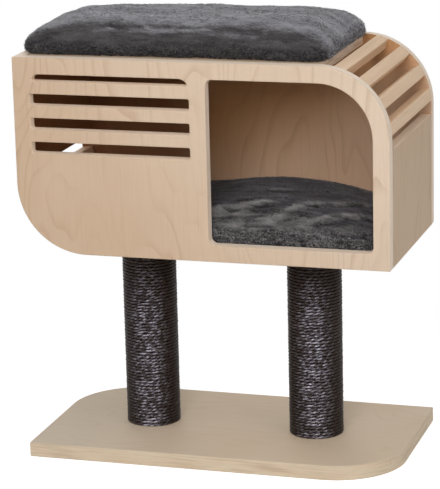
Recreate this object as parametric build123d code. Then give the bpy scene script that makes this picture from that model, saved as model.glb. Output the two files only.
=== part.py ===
"""Cat tree: a plywood den with slatted round corners, on two rope-wound posts and a base plate.

Millimetres. +Z is up, +X points to the entrance's side and -Y to the front.
The origin is the centre of the base plate's underside.
"""
from build123d import *
import math
import os

# Base plate
base_length = 596.0
base_depth = 320.0
base_thick = 24.0
base_corner_radius = 112.0

# Posts
post_end_distance = 161.0
post_height = 318.0
post_dia = 88.0
rope_dia = 12.5
rope_gap = 0.6
rope_seat = 0.3
core_wall = 4.0
plug_length = 30.0

# Den
den_width = 600.0
den_depth = 316.0
den_height = 312.0
den_corner_radius = 112.0
ply = 18.0
border = 26.5
mid_stile = 26.5
entrance_corner_radius = 10.0
slot_height = 18.0
top_slot_height = 11.0
bar_height = 20.0
slot_count = 4
window_corner_radius = 17.0
slot_corner_radius = 3.0
edge_round = 1.5
square_corner_ease = 2.0

# Slats round the two curves
slat_count = 4
slat_width = 20.0
side_drop = 16.6

# Bolts, washers, threaded sleeves and dowels
bolt_dia = 8.0
bolt_head_dia = 13.0
bolt_head_height = 5.0
bolt_socket = 5.0
bolt_socket_depth = 3.0
base_bolt_length = 35.0
den_bolt_length = 30.0
washer_dia = 18.0
washer_thick = 1.5
base_counterbore = 9.0
den_counterbore = 8.5
counterbore_room = 1.0
insert_dia = 12.0
insert_length = 20.0
dowel_dia = 8.0
dowel_length = 30.0
dowel_in_face = 12.0
dowel_end_distance = 40.0
dowels_per_edge = 3

# Pads
top_pad_length = 494.0
top_pad_depth = 268.0
top_pad_side = 38.0
top_pad_crown = 50.0
top_pad_left_gap = 5.0
inner_pad_side = 38.0
inner_pad_crown = 62.0
inner_pad_wall_gap = 2.0
pad_corner_radius = 28.0
pad_crown_corner_radius = 64.0
pad_crown_inset = 68.0
pad_shoulder_radius = 24.0
pad_shoulder_turn = 70.0
pad_foot_tuck = 3.0
pad_foot_height = 9.5
pad_draw_in = 4.0
pad_crown_draw_in = 0.4
pad_foot_rows = 2
pad_shoulder_rows = 5
pad_crown_rows = 4

# Clearances
glue_play = 0.1
bolt_play = 0.5
pad_seat = 0.3

# Levels and planes that the pieces share
base_top = base_thick
den_bottom = base_top + post_height
den_top = den_bottom + den_height
floor_top = den_bottom + ply
roof_under = den_top - ply
inside_depth = den_depth - 2 * ply
inside_half = den_width / 2 - ply
curve_x = den_width / 2 - den_corner_radius
curve_top_z = den_top - den_corner_radius
curve_low_z = den_bottom + den_corner_radius
post_x = den_width / 2 - post_end_distance
post_xs = {"left": -post_x, "right": post_x}

os.makedirs("parts", exist_ok=True)
pieces = {}


def turned(shape):
    """The shape turned half round about the den's fore-and-aft centre line."""
    return shape.rotate(Axis((0, 0, (den_bottom + den_top) / 2), (0, 1, 0)), 180)


def sheet(length, width, radius, diagonal):
    """A rectangle with two opposite corners swept round and the other two just eased.

    diagonal is 1 where the round corners lie at (+, +) and (-, -), and -1 at the other two.
    """
    outline = Rectangle(length, width)
    swept = [v for v in outline.vertices() if v.X * v.Y * diagonal > 0]
    outline = fillet(swept, radius)
    eased = [v for v in outline.vertices() if abs(v.X * v.Y) > 0.249 * length * width]
    return fillet(eased, square_corner_ease)


def rounded_box(length, depth, height, edges_along):
    """A box centred at the origin with the edges along one axis eased."""
    box = Box(length, depth, height)
    return fillet(box.edges().filter_by(edges_along), edge_round)


def drill(x, y, z, direction, dia, depth):
    """A cylinder that starts at a point and runs along a direction, for a hole or a pin."""
    start = Plane(origin=(x, y, z), z_dir=direction)
    return start * Cylinder(dia / 2, depth, align=(Align.CENTER, Align.CENTER, Align.MIN))


def upright(profile):
    """Moves a drawing of the den's front, in X and Z, to the den's centre, facing front."""
    return Plane(origin=(0, 0, (den_bottom + den_top) / 2), x_dir=(1, 0, 0), z_dir=(0, -1, 0)) * profile


# Base plate: one sheet, counterbored from below for the two lower bolts
base = extrude(sheet(base_length, base_depth, base_corner_radius, -1), base_thick)
base = fillet(base.edges().group_by(Axis.Z)[-1], edge_round)
base = fillet(base.edges().group_by(Axis.Z)[0], edge_round)
bolt_hole_dia = bolt_dia + 2 * bolt_play
counterbore_dia = washer_dia + 2 * counterbore_room
for x in post_xs.values():
    base -= drill(x, 0, 0, (0, 0, 1), bolt_hole_dia, base_thick)
    base -= drill(x, 0, 0, (0, 0, 1), counterbore_dia, base_counterbore)
pieces["base_plate"] = base

# Posts: tube, two plugs with a threaded sleeve each, and the winding
rope_radius = (post_dia - rope_dia) / 2
core_dia = post_dia - 2 * rope_dia - 2 * rope_seat
core_bore = core_dia - 2 * core_wall
plug_dia = core_bore - 2 * glue_play
rope_run = post_height - 2 * rope_seat - rope_dia
rope_loops = int(rope_run / (rope_dia + rope_gap)) + 1
rope_pitch = rope_run / (rope_loops - 1)
first_loop_z = base_top + rope_seat + rope_dia / 2


def climb(start, end, heading):
    """The half turn behind the post: two quarter arcs that rise from one level turn to the next."""
    span = end - start
    reach = span.length / 2
    early = start + heading * reach
    late = end + heading * reach
    middle = (early + late) * 0.5
    first = Edge.make_tangent_arc(start, heading, middle)
    second = Edge.make_tangent_arc(middle, late - early, end)
    return [first, second]


def rope_path():
    """Level half turns round the front, joined by climbing half turns round the back."""
    front = Vector(0, -1, 0)
    left = Vector(-rope_radius, 0, first_loop_z)
    right = Vector(rope_radius, 0, first_loop_z)
    rise = Vector(0, 0, rope_pitch)
    tail = Vector(0, rope_dia, 0)
    path = [Edge.make_line(left + tail, left)]
    for loop in range(rope_loops):
        lift = rise * loop
        path.append(Edge.make_tangent_arc(left + lift, front, right + lift))
        if loop < rope_loops - 1:
            path += climb(right + lift, left + lift + rise, -front)
    last = right + rise * (rope_loops - 1)
    path.append(Edge.make_line(last, last + tail))
    return Wire(path)


def least_gap(path, samples_per_turn):
    """Smallest clear distance between one turn of the rope and the next, on points of its line."""
    count = rope_loops * samples_per_turn
    line = [path.position_at(i / count) for i in range(count + 1)]
    nearest = min(
        (line[i] - line[j]).length
        for i in range(len(line) - samples_per_turn)
        for j in range(i + samples_per_turn // 2, min(len(line), i + 3 * samples_per_turn // 2))
    )
    return nearest - rope_dia


winding_line = rope_path()
winding_start = Plane(origin=winding_line.position_at(0), z_dir=winding_line.tangent_at(0))
winding = sweep(winding_start * Circle(rope_dia / 2), winding_line)
print("rope loops", rope_loops, "least gap", round(least_gap(winding_line, 72), 3))

core = extrude(Circle(core_dia / 2) - Circle(core_bore / 2), post_height)
plug = fillet(Cylinder(plug_dia / 2, plug_length).edges(), edge_round)
insert_hole = Cylinder(insert_dia / 2 + glue_play, insert_length + bolt_play)
insert_bore = bolt_dia / 2 + glue_play
insert = Cylinder(insert_dia / 2, insert_length) - Cylinder(insert_bore, insert_length)
lower_plug = plug - Pos(0, 0, -(plug_length - insert_length - bolt_play) / 2) * insert_hole
upper_plug = lower_plug.rotate(Axis.X, 180)
inserts = []
for side, x in post_xs.items():
    pieces["post_core_" + side] = Pos(x, 0, base_top) * core
    pieces["post_plug_" + side + "_lower"] = Pos(x, 0, base_top + plug_length / 2) * lower_plug
    pieces["post_plug_" + side + "_upper"] = Pos(x, 0, den_bottom - plug_length / 2) * upper_plug
    pieces["sisal_rope_" + side] = Pos(x, 0, 0) * winding
    inserts.append(Pos(x, 0, base_top + insert_length / 2) * insert)
    inserts.append(Pos(x, 0, den_bottom - insert_length / 2) * insert)
pieces["threaded_inserts"] = Compound(inserts)


def bolt(length):
    """A button-head bolt, its shank up and the underside of its head at the origin's level."""
    head = Cylinder(bolt_head_dia / 2, bolt_head_height, align=(Align.CENTER, Align.CENTER, Align.MAX))
    head = fillet(head.edges().group_by(Axis.Z)[0], bolt_head_height / 2)
    socket = extrude(RegularPolygon(bolt_socket / 2, 6, major_radius=False), bolt_socket_depth)
    shank = Cylinder(bolt_dia / 2, length, align=(Align.CENTER, Align.CENTER, Align.MIN))
    return head + shank - Pos(0, 0, -bolt_head_height) * socket


washer = extrude(Circle(washer_dia / 2) - Circle(bolt_dia / 2 + bolt_play), washer_thick)
base_seat = base_counterbore - washer_thick
den_seat = floor_top - den_counterbore + washer_thick
pieces["base_bolts"] = Compound([Pos(x, 0, base_seat) * bolt(base_bolt_length) for x in post_xs.values()])
pieces["base_washers"] = Compound([Pos(x, 0, base_seat) * washer for x in post_xs.values()])
den_bolt = bolt(den_bolt_length).rotate(Axis.X, 180)
pieces["den_bolts"] = Compound([Pos(x, 0, den_seat) * den_bolt for x in post_xs.values()])
pieces["den_washers"] = Compound([Pos(x, 0, den_seat - washer_thick) * washer for x in post_xs.values()])

# Den: where the panels end and the slats stand
arc_length = den_corner_radius * math.pi / 2
slat_gap = (arc_length + side_drop - slat_count * slat_width) / (slat_count + 1)
slat_angles = [
    (slat_gap + slat_width / 2 + i * (slat_gap + slat_width)) / den_corner_radius for i in range(slat_count)
]
slat_face_radius = math.sqrt(den_corner_radius**2 - (slat_width / 2) ** 2)
slat_radius = slat_face_radius - ply / 2
side_height = den_height - den_corner_radius - side_drop
top_length = inside_half + curve_x

# Den panels between front and back, and the slats of the upper curve
top_centre = Pos(curve_x - top_length / 2, 0, den_top - ply / 2)
top_panel = top_centre * rounded_box(top_length, inside_depth, ply, Axis.Y)
side_centre = Pos(inside_half + ply / 2, 0, den_bottom + side_height / 2)
right_panel = side_centre * rounded_box(ply, inside_depth, side_height, Axis.Y)
slat = rounded_box(slat_width, inside_depth, ply, Axis.Y)
upper_slats = []
for angle in slat_angles:
    slat_x = curve_x + slat_radius * math.sin(angle)
    slat_z = curve_top_z + slat_radius * math.cos(angle)
    upper_slats.append(Pos(slat_x, 0, slat_z) * Rot(0, math.degrees(angle), 0) * slat)

# Dowels: three to each panel's front and back edge, one to each slat's end, three at each butt joint
edge_pins = []
along_top = [
    -inside_half + dowel_end_distance + i * (top_length - 2 * dowel_end_distance) / (dowels_per_edge - 1)
    for i in range(dowels_per_edge)
]
up_side = [
    den_bottom + dowel_end_distance + i * (side_height - 2 * dowel_end_distance) / (dowels_per_edge - 1)
    for i in range(dowels_per_edge)
]
edge_pins += [(x, den_top - ply / 2) for x in along_top]
edge_pins += [(inside_half + ply / 2, z) for z in up_side]
edge_pins += [
    (curve_x + slat_radius * math.sin(a), curve_top_z + slat_radius * math.cos(a)) for a in slat_angles
]
across = [(i / (dowels_per_edge - 1) - 0.5) * (inside_depth - 2 * dowel_end_distance) for i in range(dowels_per_edge)]
hole_dia = dowel_dia + 2 * glue_play


def fore_and_aft(x, z, dia, spare):
    """A dowel, or its hole, across the seam behind the front panel and across the one before the back panel."""
    length = dowel_length + 2 * spare
    front = drill(x, -inside_depth / 2 - dowel_in_face - spare, z, (0, 1, 0), dia, length)
    back = drill(x, inside_depth / 2 + dowel_in_face + spare, z, (0, -1, 0), dia, length)
    return [front, back]


def across_butt(y, dia, spare):
    """A dowel, or its hole, through the seam of the roof's end against the left side panel."""
    start_x = -inside_half - dowel_in_face - spare
    return drill(start_x, y, den_top - ply / 2, (1, 0, 0), dia, dowel_length + 2 * spare)


pins = [pin for x, z in edge_pins for pin in fore_and_aft(x, z, dowel_dia, 0)]
pins += [across_butt(y, dowel_dia, 0) for y in across]
holes = [hole for x, z in edge_pins for hole in fore_and_aft(x, z, hole_dia, bolt_play)]
butt_holes = [across_butt(y, hole_dia, bolt_play) for y in across]
pieces["dowels"] = Compound(pins + [turned(pin) for pin in pins])
all_holes = holes + [turned(hole) for hole in holes]

top_panel -= holes + butt_holes
right_panel -= holes + [turned(hole) for hole in butt_holes]
floor_panel = turned(top_panel)
for x in post_xs.values():
    floor_panel -= drill(x, 0, den_bottom, (0, 0, 1), bolt_hole_dia, ply)
    floor_panel -= drill(x, 0, floor_top, (0, 0, -1), counterbore_dia, den_counterbore)
pieces["top_panel"] = top_panel
pieces["floor_panel"] = floor_panel
pieces["right_side_panel"] = right_panel
pieces["left_side_panel"] = turned(right_panel)
for number, slat_piece in enumerate(upper_slats, 1):
    drilled = slat_piece - holes
    pieces["upper_slat_" + str(number)] = drilled
    pieces["lower_slat_" + str(number)] = turned(drilled)

# Front and back panels: one outline, with the entrance and the window slots cut in the front one
outline = sheet(den_width, den_height, den_corner_radius, 1)
blank = upright(extrude(outline, ply / 2, both=True))
front_centre = Pos(0, -(inside_depth + ply) / 2, 0)
back_panel = Pos(0, (inside_depth + ply) / 2, 0) * blank
back_panel = fillet(back_panel.edges().group_by(Axis.Y)[-1], edge_round)
pieces["back_panel"] = back_panel - all_holes

entrance_left = mid_stile / 2
entrance_right = den_width / 2 - border
entrance_top = den_height / 2 - border
entrance_width = entrance_right - entrance_left
entrance_height = den_height - 2 * border
entrance = Pos((entrance_left + entrance_right) / 2, 0) * Rectangle(entrance_width, entrance_height)
high_right = entrance.vertices().sort_by(Axis.X)[2:].sort_by(Axis.Y)[1]
entrance = fillet(high_right, den_corner_radius - border)
small_corners = [v for v in entrance.vertices() if abs(abs(v.Y) - entrance_top) < edge_round]
small_corners = [v for v in small_corners if v.Y < 0 or v.X < entrance_left + edge_round]
entrance = fillet(small_corners, entrance_corner_radius)

window_left = -den_width / 2 + border
window_right = -mid_stile / 2
slot_pitch = slot_height + bar_height
window_low = entrance_top - (slot_count - 1) * slot_pitch - top_slot_height
window = Pos((window_left + window_right) / 2, (window_low + entrance_top) / 2) * Rectangle(
    window_right - window_left, entrance_top - window_low
)
window = fillet(window.vertices().group_by(Axis.Y)[-1], window_corner_radius)
slots = Sketch()
for number in range(slot_count):
    slot_low = window_low + number * slot_pitch
    slot = Pos((window_left + window_right) / 2, slot_low + slot_height / 2) * Rectangle(
        window_right - window_left, slot_height
    )
    slot = slot & window
    ends = [v for v in slot.vertices() if v.Y < entrance_top - edge_round]
    slots += fillet(ends, slot_corner_radius)

cut = upright(extrude(entrance + slots, ply, both=True))
front_panel = front_centre * (blank - cut)
front_panel = fillet(front_panel.edges().group_by(Axis.Y)[0], edge_round)
pieces["front_panel"] = front_panel - all_holes


# Pads
def pad_outline(length, depth, level, inset, corner, draw_in):
    """The pad seen from above at one level: sides drawn in between round corners."""
    half_x = length / 2 - inset
    half_y = depth / 2 - inset
    right_low = Vector(half_x, -half_y + corner)
    right_high = Vector(half_x, half_y - corner)
    rear_right = Vector(half_x - corner, half_y)
    rear_left = Vector(-half_x + corner, half_y)
    left_high = Vector(-half_x, half_y - corner)
    left_low = Vector(-half_x, -half_y + corner)
    front_left = Vector(-half_x + corner, -half_y)
    front_right = Vector(half_x - corner, -half_y)
    bow = corner * (1 - math.sqrt(0.5))
    with BuildSketch(Plane.XY.offset(level)) as drawn:
        with BuildLine():
            SagittaArc(right_low, right_high, draw_in)
            ThreePointArc(right_high, (half_x - bow, half_y - bow), rear_right)
            SagittaArc(rear_right, rear_left, draw_in)
            ThreePointArc(rear_left, (-half_x + bow, half_y - bow), left_high)
            SagittaArc(left_high, left_low, draw_in)
            ThreePointArc(left_low, (-half_x + bow, -half_y + bow), front_left)
            SagittaArc(front_left, front_right, draw_in)
            ThreePointArc(front_right, (half_x - bow, -half_y + bow), right_low)
        make_face()
    return drawn.sketch


def pad(length, depth, side, crown):
    """A stuffed pad: tucked in at the foot, upright sides, a round shoulder and a crowned top."""
    rows = []
    for row in range(pad_foot_rows + 1):
        share = row / pad_foot_rows
        tuck = pad_foot_tuck * (1 - share) ** 2
        rows.append((share * pad_foot_height, tuck, pad_corner_radius, pad_draw_in))
    turn = math.radians(pad_shoulder_turn)
    shoulder_foot = side - pad_shoulder_radius * math.sin(turn)
    crown_spread = pad_crown_corner_radius - pad_corner_radius
    for row in range(pad_shoulder_rows + 1):
        share = row / pad_shoulder_rows
        level = shoulder_foot + pad_shoulder_radius * math.sin(share * turn)
        inset = pad_shoulder_radius * (1 - math.cos(share * turn))
        corner = pad_corner_radius + crown_spread * share / 3
        rows.append((level, inset, corner, pad_draw_in + (pad_crown_draw_in - pad_draw_in) * share))
    shoulder_inset = rows[-1][1]
    for row in range(1, pad_crown_rows + 1):
        share = row / pad_crown_rows
        level = side + (crown - side) * (1 - (1 - share) ** 2)
        inset = shoulder_inset + (pad_crown_inset - shoulder_inset) * share
        corner = pad_corner_radius + crown_spread * (1 + 2 * share) / 3
        rows.append((level, inset, corner, pad_crown_draw_in))
    return loft([pad_outline(length, depth, *row) for row in rows], ruled=True)


top_pad = pad(top_pad_length, top_pad_depth, top_pad_side, top_pad_crown)
top_pad_x = -den_width / 2 + top_pad_left_gap + top_pad_length / 2
pieces["top_cushion"] = Pos(top_pad_x, 0, den_top + pad_seat) * top_pad
inner_length = top_length - 2 * inner_pad_wall_gap
inner_depth = inside_depth - 2 * inner_pad_wall_gap
inner_pad = pad(inner_length, inner_depth, inner_pad_side, inner_pad_crown)
pieces["inner_cushion"] = Pos(-(curve_x - top_length / 2), 0, floor_top + pad_seat) * inner_pad

for name, piece in pieces.items():
    export_step(piece, "parts/" + name + ".step")
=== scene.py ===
import bpy
import numpy as np
from mathutils import Matrix, Vector


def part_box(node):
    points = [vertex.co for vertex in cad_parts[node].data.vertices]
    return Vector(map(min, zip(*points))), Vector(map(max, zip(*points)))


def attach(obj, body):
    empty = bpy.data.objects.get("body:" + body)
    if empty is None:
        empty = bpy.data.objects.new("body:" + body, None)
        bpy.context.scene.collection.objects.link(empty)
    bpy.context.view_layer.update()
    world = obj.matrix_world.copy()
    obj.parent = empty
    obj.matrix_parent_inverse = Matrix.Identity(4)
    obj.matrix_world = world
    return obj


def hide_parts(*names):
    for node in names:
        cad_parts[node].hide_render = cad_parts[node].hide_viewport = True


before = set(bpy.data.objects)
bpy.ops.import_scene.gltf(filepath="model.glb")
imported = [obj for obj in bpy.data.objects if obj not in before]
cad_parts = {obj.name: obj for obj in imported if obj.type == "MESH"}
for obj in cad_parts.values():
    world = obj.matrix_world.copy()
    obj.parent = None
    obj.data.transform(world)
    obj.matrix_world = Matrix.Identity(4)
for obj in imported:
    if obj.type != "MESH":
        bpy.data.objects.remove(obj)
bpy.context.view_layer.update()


# The base plate is one sheet of birch plywood, lacquered clear and matt, that lies flat on the floor.
# Two of its corners are swept round and all its edges are eased; thin plies show along the rim.


def wire(tree, kind, inputs=None, **settings):
    """Adds one shader node: settings are its properties, inputs its sockets, each a value or an output."""
    made = tree.nodes.new(kind)
    for key, value in settings.items():
        setattr(made, key, value)
    for key, value in (inputs or {}).items():
        if isinstance(value, bpy.types.NodeSocket):
            tree.links.new(value, made.inputs[key])
        else:
            made.inputs[key].default_value = value
    return made


def new_finish(name):
    """A new material, with its node tree and its main shader."""
    material = bpy.data.materials.new(name)
    material.use_nodes = True
    return material, material.node_tree, material.node_tree.nodes["Principled BSDF"]


def whereabouts(tree):
    """The place of each point of the piece, in metres."""
    return wire(tree, "ShaderNodeTexCoord").outputs["Object"]


def drawn_out(tree, place, factors):
    """A place with each coordinate multiplied, so that a noise there is squeezed or drawn out."""
    return wire(tree, "ShaderNodeVectorMath", {0: place, 1: factors}, operation="MULTIPLY").outputs[0]


def reckon(tree, operation, *terms):
    """One Math node on up to three numbers or outputs."""
    return wire(tree, "ShaderNodeMath", dict(enumerate(terms)), operation=operation).outputs[0]


def times(tree, *terms):
    """The product of two or more numbers or outputs."""
    product = terms[0]
    for term in terms[1:]:
        product = reckon(tree, "MULTIPLY", product, term)
    return product


def spread(tree, value, low, high, to_low=0.0, to_high=1.0):
    """Moves a number from one range to another, smoothly and held at both ends."""
    inputs = {"Value": value, "From Min": low, "From Max": high, "To Min": to_low, "To Max": to_high}
    return wire(tree, "ShaderNodeMapRange", inputs, interpolation_type="SMOOTHSTEP").outputs[0]


def tint(tree, share, first, second, blend="MIX"):
    """Mixes two colours, each an output or three numbers, by a share from 0 to 1."""
    mixed = wire(tree, "ShaderNodeMix", data_type="RGBA", blend_type=blend)
    for place, value in ((0, share), (6, first), (7, second)):
        if isinstance(value, bpy.types.NodeSocket):
            tree.links.new(value, mixed.inputs[place])
        else:
            mixed.inputs[place].default_value = value if place == 0 else (*value, 1.0)
    return mixed.outputs[2]


def grit(tree, vector, scale, detail=2.0, roughness=0.5, distortion=0.0):
    """A noise from 0 to 1 at a vector."""
    inputs = {"Vector": vector, "Scale": scale, "Detail": detail, "Roughness": roughness}
    inputs["Distortion"] = distortion
    return wire(tree, "ShaderNodeTexNoise", inputs).outputs["Fac"]


def roughen(tree, shader, height, strength, depth):
    """Gives a finish a fine relief that follows a height from 0 to 1; depth is in metres."""
    bump = wire(tree, "ShaderNodeBump", {"Height": height, "Strength": strength, "Distance": depth})
    tree.links.new(bump.outputs[0], shader.inputs["Normal"])


def srgb(*levels):
    """A colour as picked on a screen, three levels from 0 to 255, as linear light."""
    shares = [level / 255 for level in levels]
    return tuple(((share + 0.055) / 1.055) ** 2.4 if share > 0.04045 else share / 12.92 for share in shares)


def shaded(colour, *factors):
    """A colour with its red, green and blue multiplied."""
    return tuple(part * factor for part, factor in zip(colour, factors))


def birch_plywood(
    name, across, grain, middle, colours, seed,
    figure=1.0, inside=None, inward=1.0, face_runs=(), inside_runs=(), plies=1.0,
):
    """Birch veneer on the two faces and a stack of plies on the rim.

    across is the axis through the sheet and middle the sheet's place on it; grain is the veneer's axis.
    colours are those of the face, of the lines in it and of the rim. The figure is made of contour lines of
    a slow noise on a slope, drawn out along the grain. A sheet of the den has a second colour, inside, on
    the face that is turned inward, up or down the axis. Each of the face's and the inside's runs is a colour
    that the sheet turns to, a slope, and the two places between which it turns, measured as the distance to
    the side plus slope times the distance along the grain. On the den's sheets the inside colour is painted
    shade, and the runs are painted light on the front's face and painted shade on the back's inside. plies is
    how strongly the plies show on the rim: less on a rim that is sanded and sealed.
    """
    material, tree, shader = new_finish(name)
    face, line, edge = colours
    place = whereabouts(tree)
    axes = wire(tree, "ShaderNodeSeparateXYZ", {0: place}).outputs
    beside = ({"X", "Y", "Z"} - {across, grain}).pop()
    along, side, depth = axes[grain], axes[beside], axes[across]
    from_middle = reckon(tree, "SUBTRACT", depth, middle)

    def on_sheet(side_scale, along_scale, third):
        """A place made of the sheet's two running lengths, each multiplied, and a third number."""
        inputs = {0: times(tree, side, side_scale), 1: times(tree, along, along_scale), 2: third}
        return wire(tree, "ShaderNodeCombineXYZ", inputs).outputs[0]

    def run_into(colour, runs):
        """A colour that turns into that of each run, in order."""
        for next_colour, slope, low, high in runs:
            reach = reckon(tree, "ADD", side, times(tree, along, slope))
            colour = tint(tree, spread(tree, reach, low, high), colour, next_colour)
        return colour

    rings_per_metre, ring_wander = 34.0, 0.55
    stretched = on_sheet(7.5, 2.0, seed)
    wander = times(tree, grit(tree, stretched, 1.0, 2.0, 0.4, 0.2), ring_wander)
    rings = reckon(tree, "FRACT", times(tree, reckon(tree, "ADD", wander, side), rings_per_metre))
    figured = times(tree, spread(tree, rings, 0.0, 0.42, 1.0, 0.0), spread(tree, rings, 0.0, 0.05))
    patchy = grit(tree, stretched, 1.7, 2.0)
    figured = times(tree, figured, spread(tree, patchy, 0.38, 0.66, 0.12, 1.0))
    fibres = on_sheet(640.0, 14.0, seed)
    streaks = grit(tree, fibres, 1.0, 3.0, 0.6)
    flecks = spread(tree, grit(tree, fibres, 0.45, 1.0), 0.64, 0.74)
    cloudy = grit(tree, place, 5.0, 2.0)

    inner = reckon(tree, "GREATER_THAN", times(tree, from_middle, inward), 0.0)
    # On the den's front the face's run is a painted gradient of light; on the den's insides the darker inner
    # colour and its runs are painted shade.
    outer = run_into(face, face_runs)
    inner_colour = run_into(inside or outer, inside_runs)
    ground = tint(tree, inner, outer, inner_colour)
    faded = tint(tree, 1.0, ground, (0.95, 0.93, 0.90), "MULTIPLY")
    veneer = tint(tree, spread(tree, cloudy, 0.3, 0.7), ground, faded)
    veneer = tint(tree, times(tree, figured, 0.32 * figure), veneer, line)
    veneer = tint(tree, spread(tree, streaks, 0.35, 0.75, 0.0, 0.09), veneer, line)
    veneer = tint(tree, times(tree, flecks, 0.10), veneer, line)

    ply = 0.0030
    pink_wood, end_wood = shaded(edge, 0.98, 0.84, 0.78), shaded(edge, 0.74, 0.68, 0.60)
    glue, gap_dark = shaded(edge, 0.35, 0.35, 0.35), (0.055, 0.032, 0.018)
    step = reckon(tree, "DIVIDE", from_middle, ply)
    rim_run = on_sheet(14.0, 14.0, step)
    layered = grit(tree, rim_run, 1.0, 2.0, 0.55)
    warm = grit(tree, drawn_out(tree, rim_run, (0.7, 0.7, 1.0)), 1.3, 1.0)
    rim = tint(tree, spread(tree, warm, 0.45, 0.68, 0.0, 0.8 * plies), edge, pink_wood)
    rim = tint(tree, spread(tree, layered, 0.42, 0.70, 0.0, 0.9 * plies), rim, end_wood)
    off_ply = reckon(tree, "ABSOLUTE", reckon(tree, "SUBTRACT", reckon(tree, "FRACT", step), 0.5))
    seam = spread(tree, off_ply, 0.40, 0.5)
    rim = tint(tree, times(tree, seam, spread(tree, layered, 0.50, 0.66, 0.0, 0.7 * plies)), rim, glue)
    voids = grit(tree, drawn_out(tree, place, (42.0, 42.0, 42.0)), 1.0, 1.0)
    rim = tint(tree, times(tree, spread(tree, voids, 0.71, 0.75), seam, plies), rim, gap_dark)

    outward = wire(tree, "ShaderNodeNewGeometry").outputs["Normal"]
    turned = wire(tree, "ShaderNodeSeparateXYZ", {0: outward}).outputs[across]
    flat = spread(tree, reckon(tree, "ABSOLUTE", turned), 0.18, 0.42)
    tree.links.new(tint(tree, flat, rim, veneer), shader.inputs["Base Color"])
    tree.links.new(spread(tree, streaks, 0.3, 0.7, 0.66, 0.78), shader.inputs["Roughness"])
    tree.links.new(spread(tree, flat, 0.0, 1.0, 0.75, 0.32), shader.inputs["Specular IOR Level"])
    grain_height = reckon(tree, "ADD", times(tree, streaks, 0.6), times(tree, figured, -0.4))
    roughen(tree, shader, grain_height, 0.12, 0.0004)
    return material


def dress(material, *names):
    """Gives CAD pieces a finish in place of the one they came with."""
    for name in names:
        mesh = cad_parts[name].data
        mesh.materials.clear()
        mesh.materials.append(material)


base_colours = srgb(212, 197, 177), srgb(182, 157, 127), srgb(222, 203, 176)
base_runs = [(srgb(222, 204, 181), 8.0, -2.2, -0.8)]
base_birch = birch_plywood(
    "base birch", "Z", "X", 0.0, base_colours, 3.1, figure=0.45, face_runs=base_runs, plies=0.6
)
dress(base_birch, "base_plate")


# Each post is a paper tube with a turned pine plug glued into either end and a threaded sleeve in each plug.
# A zinc-plated bolt and washer draws the post to the base from below, and another to the den from above.


def turned_wood(name, face, line, grain):
    """Plain wood with streaks along one axis, darker where a slow noise is high."""
    material, tree, shader = new_finish(name)
    run = drawn_out(tree, whereabouts(tree), [14.0 if axis == grain else 420.0 for axis in "XYZ"])
    streaks = grit(tree, run, 1.0, 3.0, 0.6)
    broad = grit(tree, drawn_out(tree, run, (0.1, 0.1, 0.1)), 1.0, 2.0)
    wood = tint(tree, spread(tree, broad, 0.3, 0.7, 0.0, 0.5), face, line)
    wood = tint(tree, spread(tree, streaks, 0.4, 0.8, 0.0, 0.4), wood, line)
    tree.links.new(wood, shader.inputs["Base Color"])
    tree.links.new(spread(tree, streaks, 0.3, 0.7, 0.5, 0.65), shader.inputs["Roughness"])
    roughen(tree, shader, streaks, 0.12, 0.0004)
    shader.inputs["Specular IOR Level"].default_value = 0.3
    return material


pressed_paper = turned_wood("pressed paper", srgb(178, 148, 112), srgb(150, 120, 88), "Z")
dress(pressed_paper, "post_core_left", "post_core_right")
plug_names = [f"post_plug_{side}_{end}" for side in ("left", "right") for end in ("lower", "upper")]
dress(turned_wood("turned pine", srgb(222, 190, 144), srgb(190, 146, 98), "Z"), *plug_names)
dress(turned_wood("turned beech", srgb(206, 170, 132), srgb(176, 136, 98), "Y"), "dowels")

zinc, zinc_tree, zinc_shader = new_finish("zinc steel")
zinc_spangle = grit(zinc_tree, whereabouts(zinc_tree), 900.0, 2.0)
zinc_colour = tint(zinc_tree, zinc_spangle, (0.50, 0.50, 0.49), (0.66, 0.66, 0.65))
zinc_tree.links.new(zinc_colour, zinc_shader.inputs["Base Color"])
zinc_tree.links.new(spread(zinc_tree, zinc_spangle, 0.3, 0.7, 0.28, 0.42), zinc_shader.inputs["Roughness"])
zinc_shader.inputs["Metallic"].default_value = 1.0
dress(zinc, "threaded_inserts", "base_bolts", "base_washers", "den_bolts", "den_washers")


# Each post is wound from the base to the den with one length of three-strand sisal, dyed nearly black.
# The rope is glued to the tube turn against turn; a few fibres have worked loose and stand off it.

post_radius = 0.044
post_axis = 0.139
rope_thick = 0.0053
rope_strands = 3
rope_lay = 0.034
rope_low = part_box("base_plate")[1].z
rope_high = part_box("floor_panel")[0].z
rope_turns = int((rope_high - rope_low) / rope_thick)
rope_climb = (rope_high - rope_low - rope_thick) / (rope_turns - 1)


def set_up(name, data):
    """A new object in the scene, at the origin, that holds a mesh, a lamp or a camera."""
    made = bpy.data.objects.new(name, data)
    bpy.context.scene.collection.objects.link(made)
    return made


def smooth(mesh):
    """Shades all of a mesh's faces smoothly."""
    mesh.polygons.foreach_set("use_smooth", np.ones(len(mesh.polygons), bool))


def mark(mesh, label, values):
    """Keeps a number for each of a mesh's points, under a label that its finish reads."""
    kept = mesh.attributes.new(label, "FLOAT", "POINT")
    kept.data.foreach_set("value", np.asarray(values, np.float32).ravel())


def read_mark(tree, label):
    """The number that a mesh keeps under a label."""
    return wire(tree, "ShaderNodeAttribute", attribute_name=label).outputs["Fac"]


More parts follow.
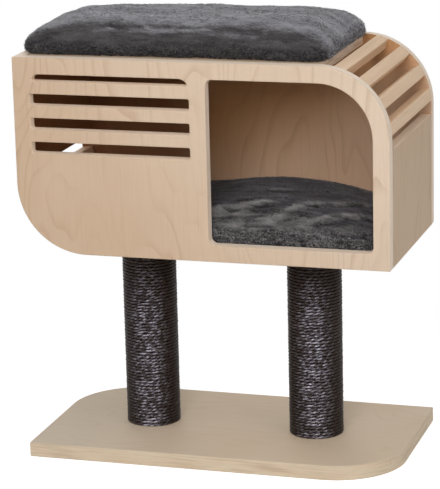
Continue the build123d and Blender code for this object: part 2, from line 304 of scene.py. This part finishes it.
def tube(name, rings, charts):
    """A mesh of four-sided faces over rows of points, each row a closed ring and joined to the next.

    charts is the rings' own pair of running lengths, kept as the mesh's UV map.
    """
    rows, columns = rings.shape[:2]
    row = np.arange(rows - 1)[:, None]
    column = np.arange(columns)[None, :]
    next_column = (column + 1) % columns
    corners = [
        row * columns + column,
        (row + 1) * columns + column,
        (row + 1) * columns + next_column,
        row * columns + next_column,
    ]
    faces = np.stack(corners, axis=-1).reshape(-1, 4)
    mesh = bpy.data.meshes.new(name)
    mesh.from_pydata(rings.reshape(-1, 3), [], faces)
    layer = mesh.uv_layers.new(name="run")
    layer.data.foreach_set("uv", charts.reshape(-1, 2)[faces.ravel()].astype(np.float32).ravel())
    smooth(mesh)
    return set_up(name, mesh)


def ripple(at, seed, scale):
    """A smooth wander about 0, of about 1, along one or more coordinates: sines of odd steps, added."""
    rng = np.random.default_rng(seed)
    total = 0.0
    for pitch in (1.0, 1.71, 2.63, 4.1):
        swing = sum(axis * rng.uniform(0.6, 1.4) * rng.choice((-1, 1)) for axis in at)
        total = total + np.sin(swing * scale * pitch + rng.uniform(0, 6.28)) / pitch**0.7
    return total / 1.6


def wound_rope(name, middle, seed):
    """One rope carried round a post.

    The path keeps level round the front and climbs one turn's thickness round the back. The profile has
    three lobes, and it turns about the path once in each lay, so that the strands wind round each other.
    Two marks are kept. The first is a painted highlight: 1 where the post faces forwards and a little to the
    right, weaker behind, and fading towards the top, where the den's shadow falls; the second, "crown", is 1
    along the outside of each turn and 0 where it meets the next.
    """
    per_turn = 165
    uneven, slack, loose_twist = 0.00012, 0.00018, 0.5
    half_thick = rope_thick / 2
    turn = np.arange(rope_turns * per_turn + 1) / per_turn
    part = turn % 1.0
    behind = np.clip(2 * part - 1, 0, 1)
    height = rope_low + half_thick + rope_climb * (np.floor(turn) + behind**2 * (3 - 2 * behind))
    height = np.minimum(height, rope_high - half_thick)
    away_from_ends = np.sin(np.pi * np.clip(turn / rope_turns, 0, 1))
    height = height + uneven * ripple((turn,), seed, 5.0) * away_from_ends
    out = np.stack([-np.cos(2 * np.pi * part), -np.sin(2 * np.pi * part), 0 * part], -1)
    reach = post_radius - half_thick + slack * ripple((turn,), seed + 1, 3.3)
    centre = np.array([middle, 0, 0]) + out * reach[:, None] + np.stack([0 * part, 0 * part, height], -1)
    length = 2 * np.pi * (post_radius - half_thick) * turn
    spin = 2 * np.pi * (length / rope_lay + loose_twist * ripple((turn,), seed + 2, 3.3))
    about = np.radians([-98, -70, -42, -14, 14, 42, 70, 98, 150, 210])
    on_rope = about[None, :] - spin[:, None]
    lobes = np.abs(np.cos(rope_strands / 2 * on_rope))
    thick = half_thick * (0.80 + 0.26 * lobes**0.8)
    count = np.arange(len(turn))
    thick = thick * np.clip(np.minimum(count, count[::-1]) / 2.0, 0, 1)[:, None]
    outwards, upwards = np.cos(about)[None, :, None], np.sin(about)[None, :, None]
    rings = centre[:, None] + thick[..., None] * (outwards * out[:, None] + upwards * np.array([0, 0, 1.0]))
    charts = np.stack(np.broadcast_arrays(on_rope / (2 * np.pi), length[:, None]), -1)
    made = tube(name, rings, charts)
    # Painted highlight: strongest where the rope faces forwards and a little to the right, weaker behind, and
    # fading towards the top, where the den's shadow falls.
    front_highlight = np.clip(0.18 * out[:, 0] - 0.98 * out[:, 1], 0, 1) ** 6 + 0.3 * np.clip(out[:, 1], 0, 1) ** 2
    out_of_den_shadow = np.clip((rope_high - height - 0.02) / 0.11, 0.05, 1)
    mark(made.data, "front_highlight", np.broadcast_to((front_highlight * out_of_den_shadow)[:, None], rings.shape[:2]))
    mark(made.data, "crown", np.broadcast_to(np.clip(np.cos(about), 0, 1)[None, :], rings.shape[:2]))
    return made


def dyed_sisal(name, dark, mid, pale):
    """Rope dyed nearly black: mid on the strands' crests, dark between strands and turns as painted shade,
    and pale as a painted highlight.

    The mesh's UV map gives the turn about the rope's own line and the length along it. The painted highlight
    lies along the fibres, on the crests that face outwards, in patches, where its mark is high.
    """
    material, tree, shader = new_finish(name)
    run = wire(tree, "ShaderNodeUVMap", uv_map="run").outputs[0]
    fibre = grit(tree, drawn_out(tree, run, (26.0, 260.0, 1.0)), 1.0, 3.0, 0.65)
    glint_patches = grit(tree, whereabouts(tree), 130.0, 2.0, 0.6)
    about = wire(tree, "ShaderNodeSeparateXYZ", {0: run}).outputs["X"]
    strand = reckon(tree, "FRACT", times(tree, about, rope_strands))
    crest = reckon(tree, "ABSOLUTE", reckon(tree, "SUBTRACT", strand, 0.5))
    front_highlight, crown = read_mark(tree, "front_highlight"), read_mark(tree, "crown")
    # Painted shade: the dark colour in the grooves between strands and where one turn meets the next.
    raised = times(tree, spread(tree, crest, 0.0, 0.20), spread(tree, crown, 0.2, 0.8))
    colour = tint(tree, raised, dark, mid)
    colour = tint(tree, spread(tree, fibre, 0.30, 0.55, 0.6, 0.0), colour, dark)
    # Painted highlight in the pale colour: along the fibres on the outward crests, in patches, where the rope
    # faces the main lamp and out of the den's shadow.
    painted_glint = times(tree, spread(tree, fibre, 0.38, 0.60), spread(tree, crest, 0.04, 0.26))
    painted_glint = times(tree, painted_glint, spread(tree, glint_patches, 0.40, 0.62, 0.15, 1.0))
    painted_glint = times(tree, painted_glint, front_highlight, spread(tree, crown, 0.45, 0.9))
    tree.links.new(tint(tree, painted_glint, colour, pale), shader.inputs["Base Color"])
    tree.links.new(spread(tree, fibre, 0.3, 0.7, 0.50, 0.36), shader.inputs["Roughness"])
    roughen(tree, shader, fibre, 0.55, 0.0006)
    shader.inputs["Specular IOR Level"].default_value = 0.12
    return material


def loose_fibres(name, middle, count, seed):
    """Thin bent ribbons that leave the winding: each starts on the rope, lies along it and curls off.

    A ribbon is six points along a curve, each widened to a pair, so its grid is fibre by step by side.
    """
    rng = np.random.default_rng(seed)
    steps, half_width, sunk = 6, 0.00016, 0.0008
    step = np.linspace(0, 1, steps)[None, :]
    angle = rng.uniform(0, 2 * np.pi, count)[:, None]
    height = rng.uniform(rope_low + 0.006, rope_high - 0.02, count)[:, None]
    reach = rng.uniform(0.008, 0.026, count)[:, None]
    swing = rng.choice((-1, 1), count)[:, None] * rng.uniform(0.4, 1.0, count)[:, None]
    lift = rng.uniform(0.0008, 0.0045, count)[:, None]
    droop = rng.uniform(-0.5, 0.35, count)[:, None]
    turned = angle + swing * reach * step / post_radius
    radius = post_radius - sunk + lift * step**1.6
    rise = height + droop * reach * step**2 + 0.0006 * np.sin(5 * step + 9 * angle)
    line = np.stack([middle + radius * np.cos(turned), radius * np.sin(turned), rise], -1)
    half = half_width * (1 - 0.6 * step)[..., None] * np.array([0, 0, 1.0])
    points = np.stack([line - half, line + half], 2)
    index = np.arange(count * steps * 2).reshape(count, steps, 2)
    corners = [index[:, :-1, 0], index[:, 1:, 0], index[:, 1:, 1], index[:, :-1, 1]]
    mesh = bpy.data.meshes.new(name)
    mesh.from_pydata(points.reshape(-1, 3), [], np.stack(corners, -1).reshape(-1, 4))
    return set_up(name, mesh)


# The last colour is the painted highlight's.
sisal = dyed_sisal("dyed sisal", srgb(15, 10, 6), srgb(51, 38, 30), srgb(232, 228, 246))
fibre, fibre_tree, fibre_shader = new_finish("loose sisal")
fibre_share = spread(fibre_tree, grit(fibre_tree, whereabouts(fibre_tree), 40.0, 2.0), 0.4, 0.65)
fibre_colour = tint(fibre_tree, fibre_share, srgb(60, 50, 44), srgb(150, 132, 112))
fibre_tree.links.new(fibre_colour, fibre_shader.inputs["Base Color"])
fibre_shader.inputs["Roughness"].default_value = 0.5

for side, middle, seed in (("left", -post_axis, 11), ("right", post_axis, 23)):
    rope = wound_rope("rope_" + side, middle, seed)
    rope.data.materials.append(sisal)
    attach(rope, "tree")
    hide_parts("sisal_rope_" + side)
    loose = loose_fibres("rope_fibres_" + side, middle, 130, seed + 4)
    loose.data.materials.append(fibre)
    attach(loose, "tree")


# The den's six panels are birch plywood, glued edge to face with hidden dowels and lacquered clear and matt.
# The front has the entrance and the window slots milled out of it; the veneer's grain stands upright.
# The inside faces are coloured darker and browner than the outside as painted shade, darkest on the back's
# inside towards its left and its top.

panel_face, panel_line, panel_edge = srgb(221, 196, 169), srgb(168, 128, 92), srgb(252, 234, 214)
# The front's face turns from the shaded colour at its lower left to the lit one at its upper right: a painted
# gradient of light.
front_shaded, front_lit = srgb(213, 186, 159), srgb(225, 203, 181)
# The inside colours are painted shade: the back's inside turns darkest towards its left and its top, and the
# other insides are a darker brown than the outside.
wall_deep_shade, wall_half_shade, wall_least_shade = srgb(140, 92, 56), srgb(197, 147, 99), srgb(216, 180, 150)
inside_shade = srgb(158, 108, 66)
front_light_run = [(front_lit, 1.0, 0.2, 0.83)]
wall_shade_runs = [(wall_half_shade, 0.0, -0.16, -0.04), (wall_least_shade, -2.0, -1.10, -0.76)]
for panel, across, grain, face, inner_colour, inward, face_runs, inside_runs, plies, seed in (
    ("front_panel", "Y", "Z", front_shaded, inside_shade, 1.0, front_light_run, (), 0.3, 1.3),
    ("back_panel", "Y", "Z", panel_face, wall_deep_shade, -1.0, (), wall_shade_runs, 0.3, 5.7),
    ("left_side_panel", "X", "Z", panel_face, inside_shade, 1.0, (), (), 0.3, 2.2),
    ("right_side_panel", "X", "Z", panel_face, inside_shade, -1.0, (), (), 0.3, 7.9),
    ("top_panel", "Z", "X", panel_face, inside_shade, -1.0, (), (), 1.0, 4.4),
    ("floor_panel", "Z", "X", panel_face, inside_shade, 1.0, (), (), 0.3, 6.6),
):
    low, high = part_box(panel)
    centre = {"X": (low.x + high.x) / 2, "Y": (low.y + high.y) / 2, "Z": (low.z + high.z) / 2}[across]
    birch_name = panel.replace("_", " ") + " birch"
    colours = face, panel_line, panel_edge
    panel_birch = birch_plywood(
        birch_name, across, grain, centre, colours, seed, 1.0, inner_colour, inward, face_runs, inside_runs, plies
    )
    dress(panel_birch, panel)


# Four birch slats close each of the den's two round corners, with a gap between one and the next.
# Each is a planed batten with eased edges, held by a dowel in the front panel and one in the back panel.

slat_names = [f"{curve}_slat_{number}" for curve in ("upper", "lower") for number in (1, 2, 3, 4)]
dress(turned_wood("planed birch", srgb(248, 216, 182), srgb(218, 182, 146), "Y"), *slat_names)


# The two loose pads are grey plush sewn over a soft filling: one lies in the den, the other on its roof.
# They are drawn in between their corners and have no piping; the pile is brushed along the pad's length.


def mesh_points(mesh):
    """The places of a mesh's points as rows."""
    points = np.empty(len(mesh.vertices) * 3)
    mesh.vertices.foreach_get("co", points)
    return points.reshape(-1, 3)


def mesh_normals(mesh):
    """The outward directions at a mesh's points as rows."""
    normals = np.empty(len(mesh.vertices) * 3)
    mesh.vertex_normals.foreach_get("vector", normals)
    return normals.reshape(-1, 3)


def ease(value, low, high):
    """A smooth step from 0 at low to 1 at high."""
    share = np.clip((value - low) / (high - low), 0, 1)
    return share * share * (3 - 2 * share)


def stuffed(name, node, shrink, swell):
    """A pad as cloth: the solid's own form made a little smaller, remeshed, and blown out by pressure.

    Points move outwards only, none further than swell. The foot stays as it is: it lies flat on the board.
    """
    made = set_up(name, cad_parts[node].data.copy())
    low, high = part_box(node)
    foot = np.array([(low.x + high.x) / 2, (low.y + high.y) / 2, low.z])
    smaller = foot + (mesh_points(made.data) - foot) * np.array(shrink)
    made.data.vertices.foreach_set("co", smaller.ravel())
    bpy.context.view_layer.objects.active = made
    weld = made.modifiers.new("weld", "WELD")
    weld.merge_threshold = 0.00005
    cut = made.modifiers.new("cut", "REMESH")
    cut.mode = "VOXEL"
    cut.voxel_size = 0.005
    for modifier in (weld.name, cut.name):
        bpy.ops.object.modifier_apply(modifier=modifier)
    start = mesh_points(made.data)
    cloth = made.modifiers.new("cloth", "CLOTH")
    cloth.settings.use_pressure = True
    cloth.settings.uniform_pressure_force = 4.0
    cloth.settings.effector_weights.gravity = 0.0
    for step in range(1, 21):
        bpy.context.scene.frame_set(step)
    bpy.ops.object.modifier_apply(modifier=cloth.name)
    bpy.context.scene.frame_set(1)
    moved = mesh_points(made.data) - start
    far = np.linalg.norm(moved, axis=1, keepdims=True)
    moved = moved * np.minimum(1, swell / np.maximum(far, 1e-9))
    outward = mesh_normals(made.data)
    moved = outward * np.maximum((moved * outward).sum(1, keepdims=True), 0)
    filled = start + moved * ease(start[:, 2:], low.z + 0.003, low.z + 0.018)
    filled[:, 2] = np.maximum(filled[:, 2], low.z)
    made.data.vertices.foreach_set("co", filled.ravel())
    finer = made.modifiers.new("finer", "SUBSURF")
    finer.levels = finer.render_levels = 1
    bpy.ops.object.modifier_apply(modifier=finer.name)
    smooth(made.data)
    made.data.materials.clear()
    return made


def plush_pile(name, pad, count, seed, seat, frizz, tone):
    """Short bent blades of pile that cover a pad.

    Each blade is five points: two at its root, two at its middle and its tip. Roots are spread evenly over
    the pad's faces, apart from its underside; the blades lean with the nap and curl to one side. frizz is
    0 to 1 at each of the pad's points: where it is 1 the pile is curly and stands up in all directions.
    tone is about -1 to 1 there and is kept on the blades for their finish: it darkens or pales them in
    streaks at random, and on the inner pad it is also painted shade in the folds' furrows and a painted
    highlight on their crests.
    """
    rng = np.random.default_rng(seed)
    shortest, longest = 0.0050, 0.0088
    slimmest, broadest = 0.00035, 0.00070
    root_depth, underside = 0.0006, 0.004
    mesh = pad.data
    mesh.calc_loop_triangles()
    corners = np.empty(len(mesh.loop_triangles) * 3, int)
    mesh.loop_triangles.foreach_get("vertices", corners)
    corners = corners.reshape(-1, 3)
    points, outward = mesh_points(mesh), mesh_normals(mesh)
    a, b, c = (points[corners[:, k]] for k in range(3))
    facing = np.cross(b - a, c - a)
    area = np.linalg.norm(facing, axis=1)
    area = np.where((facing[:, 2] < -0.7 * area) & (a[:, 2] < seat + underside), 0, area)
    chosen = corners[np.searchsorted(np.cumsum(area) / area.sum(), rng.random(count))]
    u, v = np.sqrt(rng.random(count)), rng.random(count)
    weights = np.stack([1 - u, u * (1 - v), u * v], -1)[..., None]
    root = (points[chosen] * weights).sum(1)
    normal = (outward[chosen] * weights).sum(1)
    normal = normal / np.linalg.norm(normal, axis=1, keepdims=True)
    curly = (frizz[chosen][..., None] * weights).sum(1)
    blade_tone = (tone[chosen][..., None] * weights).sum(1)

    def along(vector):
        """The part of a direction that lies in the surface, at unit length."""
        flat = vector - (vector * normal).sum(1, keepdims=True) * normal
        return flat / np.maximum(np.linalg.norm(flat, axis=1, keepdims=True), 1e-9)

    swirl = ripple((root[:, 0], root[:, 1] * 1.7, root[:, 2] * 1.3), seed + 1, 38.0)
    upright = ease(1 - np.abs(normal[:, 2]), 0.3, 0.8)[:, None]
    brushed = np.stack([-np.ones(count), 0.3 * swirl, -0.2 + 0 * swirl], -1)
    hanging = np.stack([0.8 * swirl, 0.3 * swirl, -np.ones(count)], -1)
    strayed = rng.normal(0, 0.24, (count, 3)) * (1 + 4 * curly)
    nap = along(brushed * (1 - upright) + hanging * upright + strayed)
    beside = np.cross(normal, nap)
    lean = np.radians(rng.normal(78, 5, count))[:, None] * (1 - 0.3 * upright) * (1 - 0.25 * curly)
    length = rng.uniform(shortest, longest, count)[:, None]
    rise = np.cos(lean) * normal + np.sin(lean) * nap
    curl = beside * rng.normal(0, 0.24, count)[:, None] * (1 + 2.5 * curly)
    middle = root + length * (0.55 * rise + 0.18 * curl)
    tip = root + length * (0.92 * rise + 0.75 * curl - 0.10 * normal)
    turn = rng.normal(0, 0.35, count)[:, None]
    face = np.cross(rise, beside)
    half_width = rng.uniform(slimmest, broadest, count)[:, None]
    broad = (np.cos(turn) * beside + np.sin(turn) * face) * half_width
    sunk = root - root_depth * normal
    blades = np.stack([sunk + broad, sunk - broad, middle - 0.8 * broad, middle + 0.8 * broad, tip], 1)
    blades[..., 2] = np.maximum(blades[..., 2], seat)
    first = 5 * np.arange(count)
    quads = np.stack([first, first + 1, first + 2, first + 3], -1)
    tips = np.stack([first + 3, first + 2, first + 4], -1)
    made = set_up(name, bpy.data.meshes.new(name))
    made.data.from_pydata(blades.reshape(-1, 3), [], quads.tolist() + tips.tolist())
    mark(made.data, "pile_height", np.tile([0.0, 0.0, 0.6, 0.6, 1.0], count))
    mark(made.data, "pile_shade", np.repeat(rng.random(count), 5))
    mark(made.data, "pile_frizz", np.repeat(curly[:, 0], 5))
    mark(made.data, "pile_tone", np.repeat(blade_tone[:, 0], 5))
    soft = np.repeat(normal + 0.2 * face + rng.normal(0, 0.08, (count, 3)) * (1 + curly), 5, axis=0)
    soft = soft / np.linalg.norm(soft, axis=1, keepdims=True)
    smooth(made.data)
    made.data.normals_split_custom_set_from_vertices(soft.tolist())
    return made


def plush(name, strands, top_dark, top_pale, side_dark, side_pale):
    """Grey plush, brushed along the pad; the faces that look forwards and backwards are much darker than the
    top and the ends: in part the nap, seen against its roots, and in part painted shade.

    strands is true for the pile's blades, which pale from root to tip, and false for the cloth below them.
    """
    material, tree, shader = new_finish(name)
    place = whereabouts(tree)
    nap = grit(tree, drawn_out(tree, place, (26.0, 95.0, 95.0)), 1.0, 3.0, 0.55, 0.6)
    outward = wire(tree, "ShaderNodeNewGeometry").outputs["Normal"]
    # The faces that look forwards and backwards take the side greys: in part the nap, in part painted shade.
    fore = reckon(tree, "ABSOLUTE", wire(tree, "ShaderNodeSeparateXYZ", {0: outward}).outputs["Y"])
    upright = spread(tree, fore, 0.16, 0.52)
    dark = tint(tree, upright, top_dark, side_dark)
    pale = tint(tree, upright, top_pale, side_pale)
    # The tone darkens or pales the plush: streaks at random, and on the inner pad also painted shade and
    # painted highlight along its folds.
    tone = times(tree, read_mark(tree, "pile_tone"), 0.38)
    if strands:
        height, shade = read_mark(tree, "pile_height"), read_mark(tree, "pile_shade")
        frizz = read_mark(tree, "pile_frizz")
        cloudy = grit(tree, place, 30.0, 2.0)
        share = reckon(tree, "ADD", times(tree, height, 0.40), times(tree, shade, 0.18))
        share = reckon(tree, "ADD", share, spread(tree, nap, 0.3, 0.7, -0.1, 0.28))
        share = reckon(tree, "ADD", share, spread(tree, cloudy, 0.35, 0.65, -0.08, 0.08))
        share = reckon(tree, "ADD", share, tone)
        wavy = drawn_out(tree, place, (150.0, 150.0, 320.0))
        curls = spread(tree, grit(tree, wavy, 1.0, 1.0, 0.5, 0.8), 0.38, 0.62, 0.1, 1.6)
        tipped = times(tree, height, height, spread(tree, shade, 0.0, 1.0, 0.4, 1.2), curls)
        share = spread(tree, frizz, 0.0, 1.0, share, tipped)
    else:
        share = reckon(tree, "ADD", spread(tree, nap, 0.3, 0.7, 0.20, 0.62), tone)
        roughen(tree, shader, nap, 0.5, 0.002)
    tree.links.new(tint(tree, share, dark, pale), shader.inputs["Base Color"])
    shader.inputs["Roughness"].default_value = 0.85
    shader.inputs["Specular IOR Level"].default_value = 0.15
    shader.inputs["Sheen Weight"].default_value = 0.15
    shader.inputs["Sheen Roughness"].default_value = 0.5
    return material


def cover(pad, node, body, frizz, tone, greys, pile_count, seed):
    """Puts a pad in its solid's place and grows its pile; greys are those of the top, then of the sides."""
    pad.data.materials.append(plush(pad.name + " plush", False, *greys))
    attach(pad, body)
    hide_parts(node)
    mark(pad.data, "pile_tone", tone)
    pile = plush_pile(pad.name + "_pile", pad, pile_count, seed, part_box(node)[0].z, frizz, tone)
    pile.data.materials.append(plush(pad.name + " pile", True, *greys))
    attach(pile, body)


# The inner pad fills the den's floor. It is rucked towards the entrance, where long folds climb to the right,
# and it stands highest behind them, under the middle of the back wall.

inner_pad = stuffed("inner_pad", "inner_cushion", (0.985, 0.975, 0.93), 0.005)
folded = mesh_points(inner_pad.data)
fold_x, fold_y = folded[:, 0], folded[:, 1]
inner_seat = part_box("inner_cushion")[0].z
fold_top = ease(folded[:, 2], inner_seat + 0.02, inner_seat + 0.04)

# Each row is one fold: the x and y where it starts, the x and y where it ends, and its share of full height.
fold_lines = np.array([
    (-0.010, -0.100, 0.110, -0.066, 1.0),
    (0.030, -0.066, 0.110, -0.040, 0.6),
    (0.050, -0.116, 0.140, -0.100, 0.6),
    (0.110, -0.108, 0.250, 0.000, 1.0),
    (0.140, -0.132, 0.275, -0.040, 1.0),
    (0.180, -0.136, 0.285, -0.092, 0.8),
    (0.045, 0.005, 0.105, 0.011, 0.8),
])
fold_height, crest_width, furrow_width, furrow_off = 0.0035, 0.0055, 0.008, 0.014
fold_from_x, fold_from_y, fold_to_x, fold_to_y, fold_size = fold_lines.T[:, :, None]
fold_share = (fold_x - fold_from_x) / (fold_to_x - fold_from_x)
fold_along = fold_size * ease(fold_share, -0.2, 0.2) * ease(-fold_share, -1.2, -0.8)
fold_along = fold_along * ease(fold_y, -0.135, -0.095)
fold_beside = fold_y - fold_from_y - (fold_to_y - fold_from_y) * fold_share
fold_beside = fold_beside + 0.003 * ripple((fold_x,), 5, 16.0)
fold_crest = (fold_along * np.exp(-((fold_beside / crest_width) ** 2))).max(0)
fold_furrow = (fold_along * np.exp(-(((fold_beside + furrow_off) / furrow_width) ** 2))).max(0)
back_swell = 0.005 * np.exp(-(((fold_x - 0.065) / 0.06) ** 2)) * ease(fold_y, -0.02, 0.06)
slump = -0.011 * ease(-fold_x, -0.03, 0.07) - 0.012 * ease(fold_x, 0.13, 0.24)
fold_drift = 0.0014 * ripple((fold_x, 1.4 * fold_y), 8, 17.0)
folded[:, 2] += fold_top * (fold_height * (fold_crest - fold_furrow) + back_swell + slump + fold_drift)
inner_pad.data.vertices.foreach_set("co", folded.ravel())
inner_frizz = ease(-folded[:, 2], -inner_seat - 0.036, -inner_seat - 0.023)
inner_streaks = np.maximum(ripple((1.1 * fold_x - 0.3 * fold_y, 5 * fold_y), 61, 16.0), 0) ** 2
# The inner pad's tone is painted shade in the folds' furrows and a painted highlight on their crests, with
# paler streaks at random, over a darker ground.
inner_tone = 0.68 * fold_crest - 0.4 * fold_furrow + 0.5 * inner_streaks - 0.5
# The inner pad is the same plush as the roof pad, but the greys of its top are much darker: painted shade for
# its place inside the den.
inner_greys = srgb(58, 56, 61), srgb(134, 132, 142), srgb(42, 40, 42), srgb(184, 180, 180)
cover(inner_pad, "inner_cushion", "den_pad", inner_frizz, inner_tone, inner_greys, 60000, 41)


# The roof pad lies loose on the top panel, as long as the roof's flat, and sags a little at its left end.
# Its top is brushed smooth along the length and its front stands upright with the pile ruffled and hanging.

top_pad = stuffed("top_pad", "top_cushion", (0.992, 0.985, 0.93), 0.005)
ruffled = mesh_points(top_pad.data)
top_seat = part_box("top_cushion")[0].z
top_wave, end_sag, front_wave, hem_lift, hem_wave = 0.0016, 0.005, 0.0018, 0.0024, 0.0012
ruffle_up = ease(ruffled[:, 2], top_seat + 0.006, top_seat + 0.036)
ruffled[:, 2] += ruffle_up * top_wave * ripple((ruffled[:, 0], 1.5 * ruffled[:, 1]), 15, 19.0)
sag = ease(-ruffled[:, 0], 0.12, 0.27) * ease(ruffled[:, 1], -0.02, 0.11)
ruffled[:, 2] -= ruffle_up * end_sag * sag
ruffle_front = ease(-ruffled[:, 1], 0.09, 0.125) * ease(ruffled[:, 2], top_seat + 0.002, top_seat + 0.012)
ruffled[:, 1] += ruffle_front * front_wave * ripple((ruffled[:, 0], 2.2 * ruffled[:, 2]), 31, 42.0)
hem = ease(-ruffled[:, 1], 0.10, 0.128) * ease(-ruffled[:, 2], -top_seat - 0.02, -top_seat - 0.004)
hem = hem * ease(0.16 - np.abs(ruffled[:, 0] + 0.03), 0.0, 0.08)
ruffled[:, 2] += hem * (hem_lift + hem_wave * ripple((ruffled[:, 0],), 77, 60.0))
top_pad.data.vertices.foreach_set("co", ruffled.ravel())
top_frizz = ease(-ruffled[:, 2], -top_seat - 0.028, -top_seat - 0.010)
top_greys = srgb(132, 131, 136), srgb(200, 199, 206), srgb(36, 35, 39), srgb(116, 112, 112)
top_tone = 0.5 * ripple((ruffled[:, 0], 5 * ruffled[:, 1]), 71, 11.0) * ease(ruffled[:, 1], -0.11, -0.05)
cover(top_pad, "top_cushion", "roof_pad", top_frizz, top_tone, top_greys, 66000, 57)


# The studio is a pale floor with four soft lamps: the main one in front and weak ones left, right and behind.
# The camera stands where the picture was taken, a little right of the front and above the roof.


def seen(tree):
    """1 on rays that come straight from the eye, a reflection or glass, and 0 on those that carry light."""
    path = wire(tree, "ShaderNodeLightPath").outputs
    straight = reckon(tree, "MAXIMUM", path["Is Camera Ray"], path["Is Glossy Ray"])
    return reckon(tree, "MAXIMUM", straight, path["Is Transmission Ray"])


white = (1, 1, 1, 1)
floor_half = 9
floor_corners = [(x * floor_half, y * floor_half, 0) for x, y in ((-1, -1), (1, -1), (1, 1), (-1, 1))]
floor_mesh = bpy.data.meshes.new("studio_floor")
floor_mesh.from_pydata(floor_corners, [], [(0, 1, 2, 3)])
studio_floor = set_up("studio_floor", floor_mesh)
pale, pale_tree, pale_shader = new_finish("pale floor")
pale_shader.inputs["Base Color"].default_value = (0.80, 0.80, 0.80, 1)
pale_shader.inputs["Roughness"].default_value = 0.9
pale_shader.inputs["Specular IOR Level"].default_value = 0.0
pale_reach = wire(pale_tree, "ShaderNodeVectorMath", {0: whereabouts(pale_tree)}, operation="LENGTH")
pale_far = spread(pale_tree, pale_reach.outputs["Value"], 0.30, 0.75)
pale_lit = pale_shader.outputs[0]
pale_white = wire(pale_tree, "ShaderNodeEmission", {"Color": white, "Strength": 1.0}).outputs[0]
pale_lift = wire(pale_tree, "ShaderNodeEmission", {"Color": white, "Strength": 0.65}).outputs[0]
pale_near = wire(pale_tree, "ShaderNodeAddShader", {0: pale_lit, 1: pale_lift}).outputs[0]
pale_shown = wire(pale_tree, "ShaderNodeMixShader", {0: pale_far, 1: pale_near, 2: pale_white}).outputs[0]
pale_mix = wire(pale_tree, "ShaderNodeMixShader", {0: seen(pale_tree), 1: pale_lit, 2: pale_shown}).outputs[0]
pale_tree.links.new(pale_mix, pale_tree.nodes["Material Output"].inputs[0])
floor_mesh.materials.append(pale)

studio = bpy.data.worlds.new("studio")
bpy.context.scene.world = studio
studio.use_nodes = True
sky_tree = studio.node_tree
sky = sky_tree.nodes["Background"]
sky.inputs["Color"].default_value = white
sky_tree.links.new(spread(sky_tree, seen(sky_tree), 0.0, 1.0, 0.36, 1.0), sky.inputs["Strength"])


def softbox(name, place, aim, size, power):
    """A square lamp at one point, turned to face another."""
    lamp = bpy.data.lights.new(name, "AREA")
    lamp.size = size
    lamp.energy = power
    made = set_up(name, lamp)
    made.location = place
    made.rotation_euler = (Vector(aim) - Vector(place)).to_track_quat("-Z", "Y").to_euler()


softbox("front_lamp", (0.34, -2.20, 1.60), (0, 0, 0.45), 1.0, 28.0)
softbox("left_lamp", (-2.0, -1.7, 2.7), (0, 0, 0.3), 2.2, 3.0)
softbox("right_lamp", (2.6, -1.4, 1.9), (0, 0, 0.4), 1.6, 11.0)
softbox("back_lamp", (-1.2, 2.6, 2.2), (0, 0, 0.4), 1.8, 16.0)

camera_data = bpy.data.cameras.new("camera")
camera_data.sensor_width = 36.0
camera_data.lens = 175.432
camera_data.clip_start = 0.1
camera_data.clip_end = 60.0
camera = set_up("camera", camera_data)
look_right = (0.95646506, 0.29089492, -0.02355291)
look_up = (-0.05118196, 0.24664296, 0.96775392)
look_back = (0.28732386, -0.92441733, 0.25079395)
look_place = (1.085747, -3.550091, 1.291180)
look_rows = [(*turn, 0.0) for turn in (look_right, look_up, look_back)] + [(*look_place, 1.0)]
camera.matrix_world = Matrix(look_rows).transposed()
bpy.context.scene.camera = camera
bpy.context.scene.view_settings.view_transform = "Standard"
